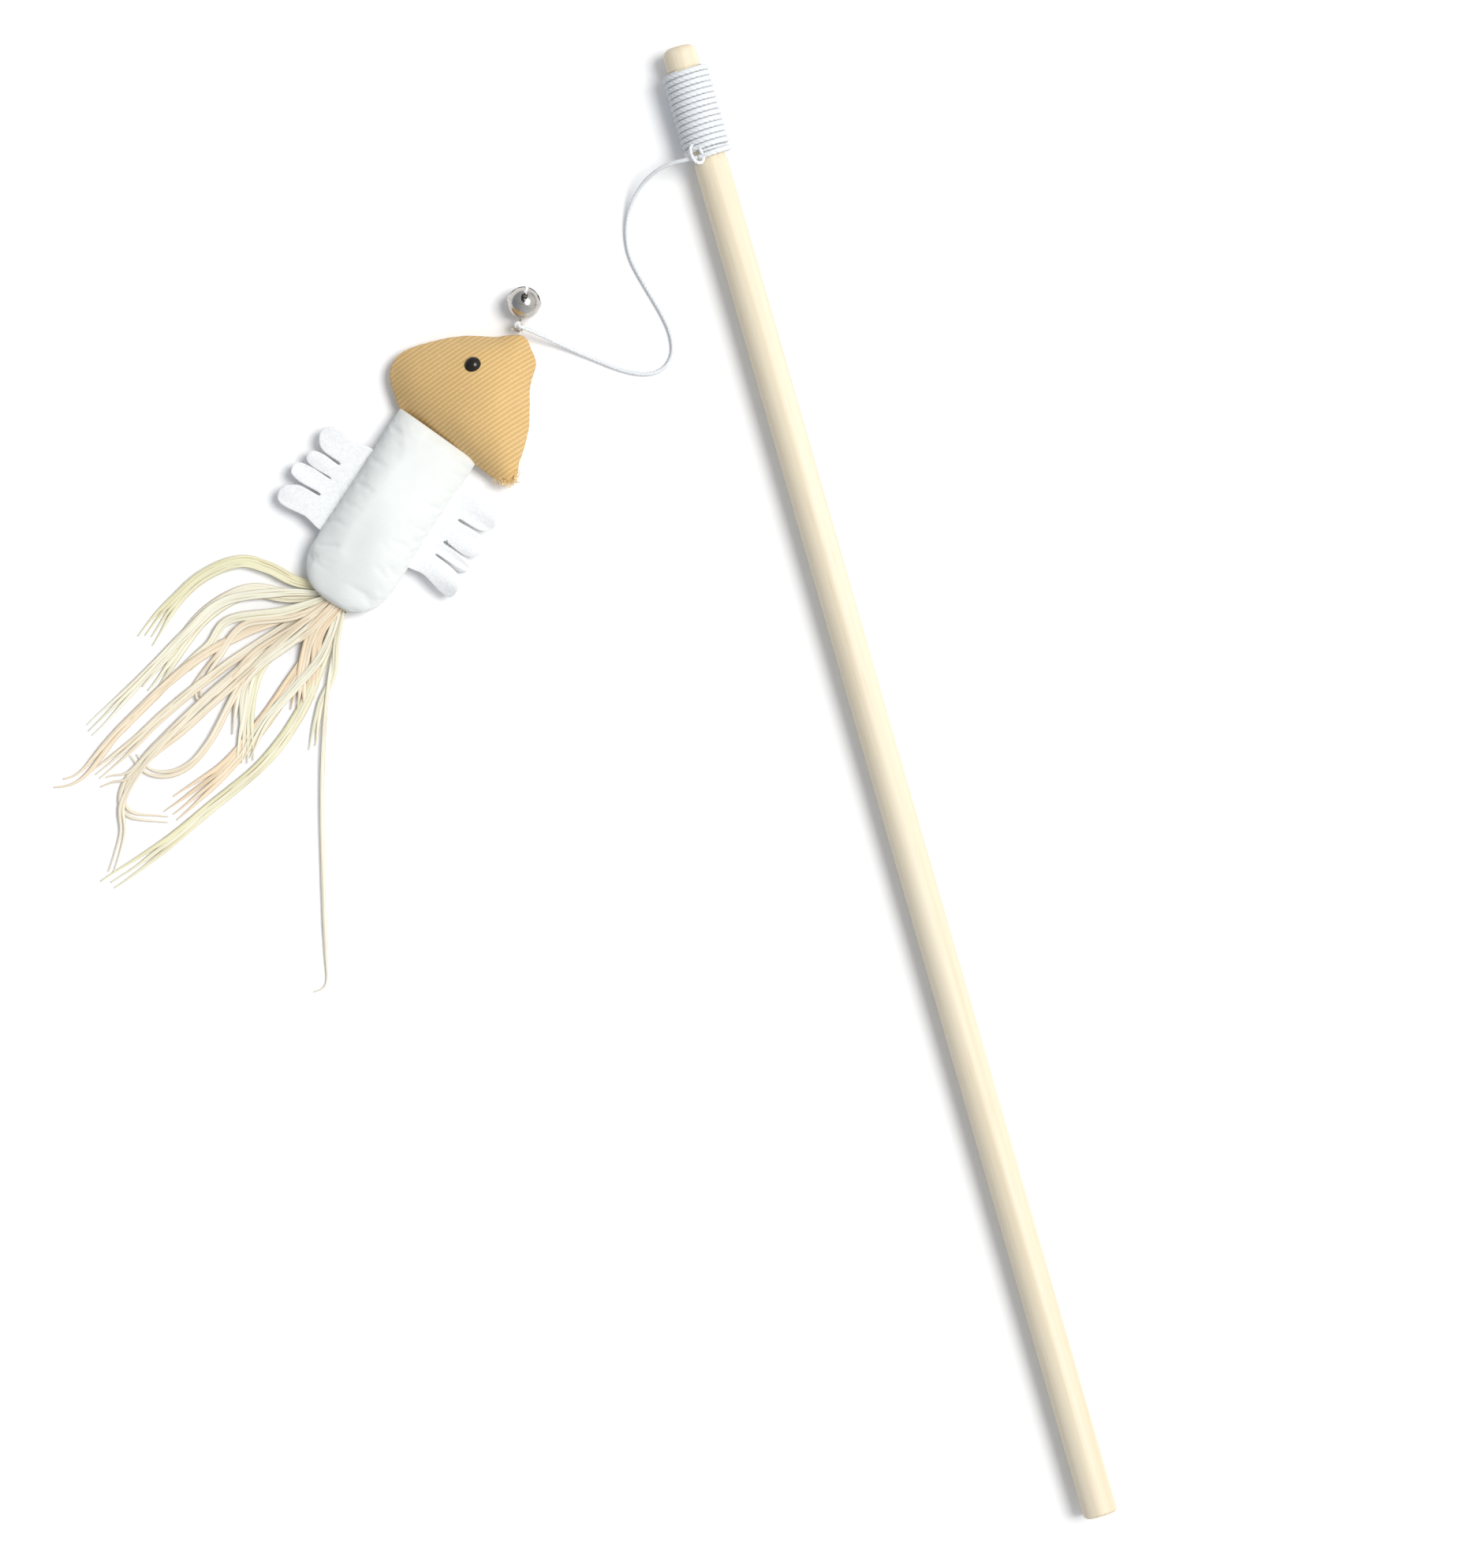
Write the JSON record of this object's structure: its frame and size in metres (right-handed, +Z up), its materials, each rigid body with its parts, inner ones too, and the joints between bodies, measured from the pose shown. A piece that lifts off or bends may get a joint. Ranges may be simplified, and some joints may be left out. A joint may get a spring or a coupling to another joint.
{
  "type": "cat teaser wand",
  "caption": "Wooden stick with a cord-wound tip, a thin string and a stuffed fish lure with a jingle bell, felt fins and a raffia tail, for playing with a cat.",
  "frame": {"origin": "on the surface that the wand lies on, under the middle of its outline", "axes": "+Y along the stick from the butt to the wound tip, +Z up from the surface, lure on the -X side"},
  "size_m": [0.2196, 0.4, 0.0159],
  "materials": {
    "wood": "satin",
    "cord": "matte",
    "bell_metal": "polished",
    "pellet_steel": "satin",
    "thread": "matte",
    "twill": "matte",
    "canvas": "matte",
    "filling": "matte",
    "bead": "gloss",
    "felt": "matte",
    "raffia": "satin"
  },
  "bodies": {
    "wand": {"stick": "wood", "tip_winding": "cord", "winding_core": "cord"},
    "string": {"lure_string": "cord"},
    "bell": {"bell_upper_shell": "bell_metal", "bell_lower_shell": "bell_metal", "bell_shank": "bell_metal"},
    "pellet": {"bell_pellet": "pellet_steel"},
    "lure": {"hang_loop": "thread", "head_front_panel": "twill", "head_back_panel": "twill", "head_filling": "filling", "eye_front": "bead", "eye_back": "bead", "body_front_panel": "canvas", "body_back_panel": "canvas", "body_filling": "filling", "fin_left": "felt", "fin_right": "felt", "tail_binding": "thread", "raffia_strand_01": "raffia", "raffia_strand_02": "raffia", "raffia_strand_03": "raffia", "raffia_strand_04": "raffia", "raffia_strand_05": "raffia", "raffia_strand_06": "raffia", "raffia_strand_07": "raffia", "raffia_strand_08": "raffia", "raffia_strand_09": "raffia", "raffia_strand_10": "raffia", "raffia_strand_11": "raffia", "raffia_strand_12": "raffia", "raffia_strand_13": "raffia", "raffia_strand_14": "raffia", "raffia_strand_15": "raffia", "raffia_strand_16": "raffia", "raffia_strand_17": "raffia", "raffia_strand_18": "raffia", "raffia_strand_19": "raffia", "raffia_strand_20": "raffia", "raffia_strand_21": "raffia", "raffia_stray_strand": "raffia"}
  },
  "joints": [
    {"name": "string_swing", "type": "hinge", "parent": "wand", "child": "string", "pos_m": [0.10075, 0.17024, 0.01193], "axis": [0, 0, 1], "range_deg": [-45, 12]},
    {"name": "lure_swing", "type": "hinge", "parent": "string", "child": "lure", "pos_m": [0.0437, 0.1414, 0.0045], "axis": [0, 0, 1], "range_deg": [-40, 20]},
    {"name": "bell_swing", "type": "hinge", "parent": "string", "child": "bell", "pos_m": [0.0437, 0.1414, 0.0045], "axis": [0, 0, 1], "range_deg": [-12, 12]},
    {"name": "pellet_roll", "type": "hinge", "parent": "bell", "child": "pellet", "pos_m": [0.0467, 0.14694, 0.00509], "axis": [-0.8796, 0.4756, 0], "range_deg": [-40, 40]}
  ]
}
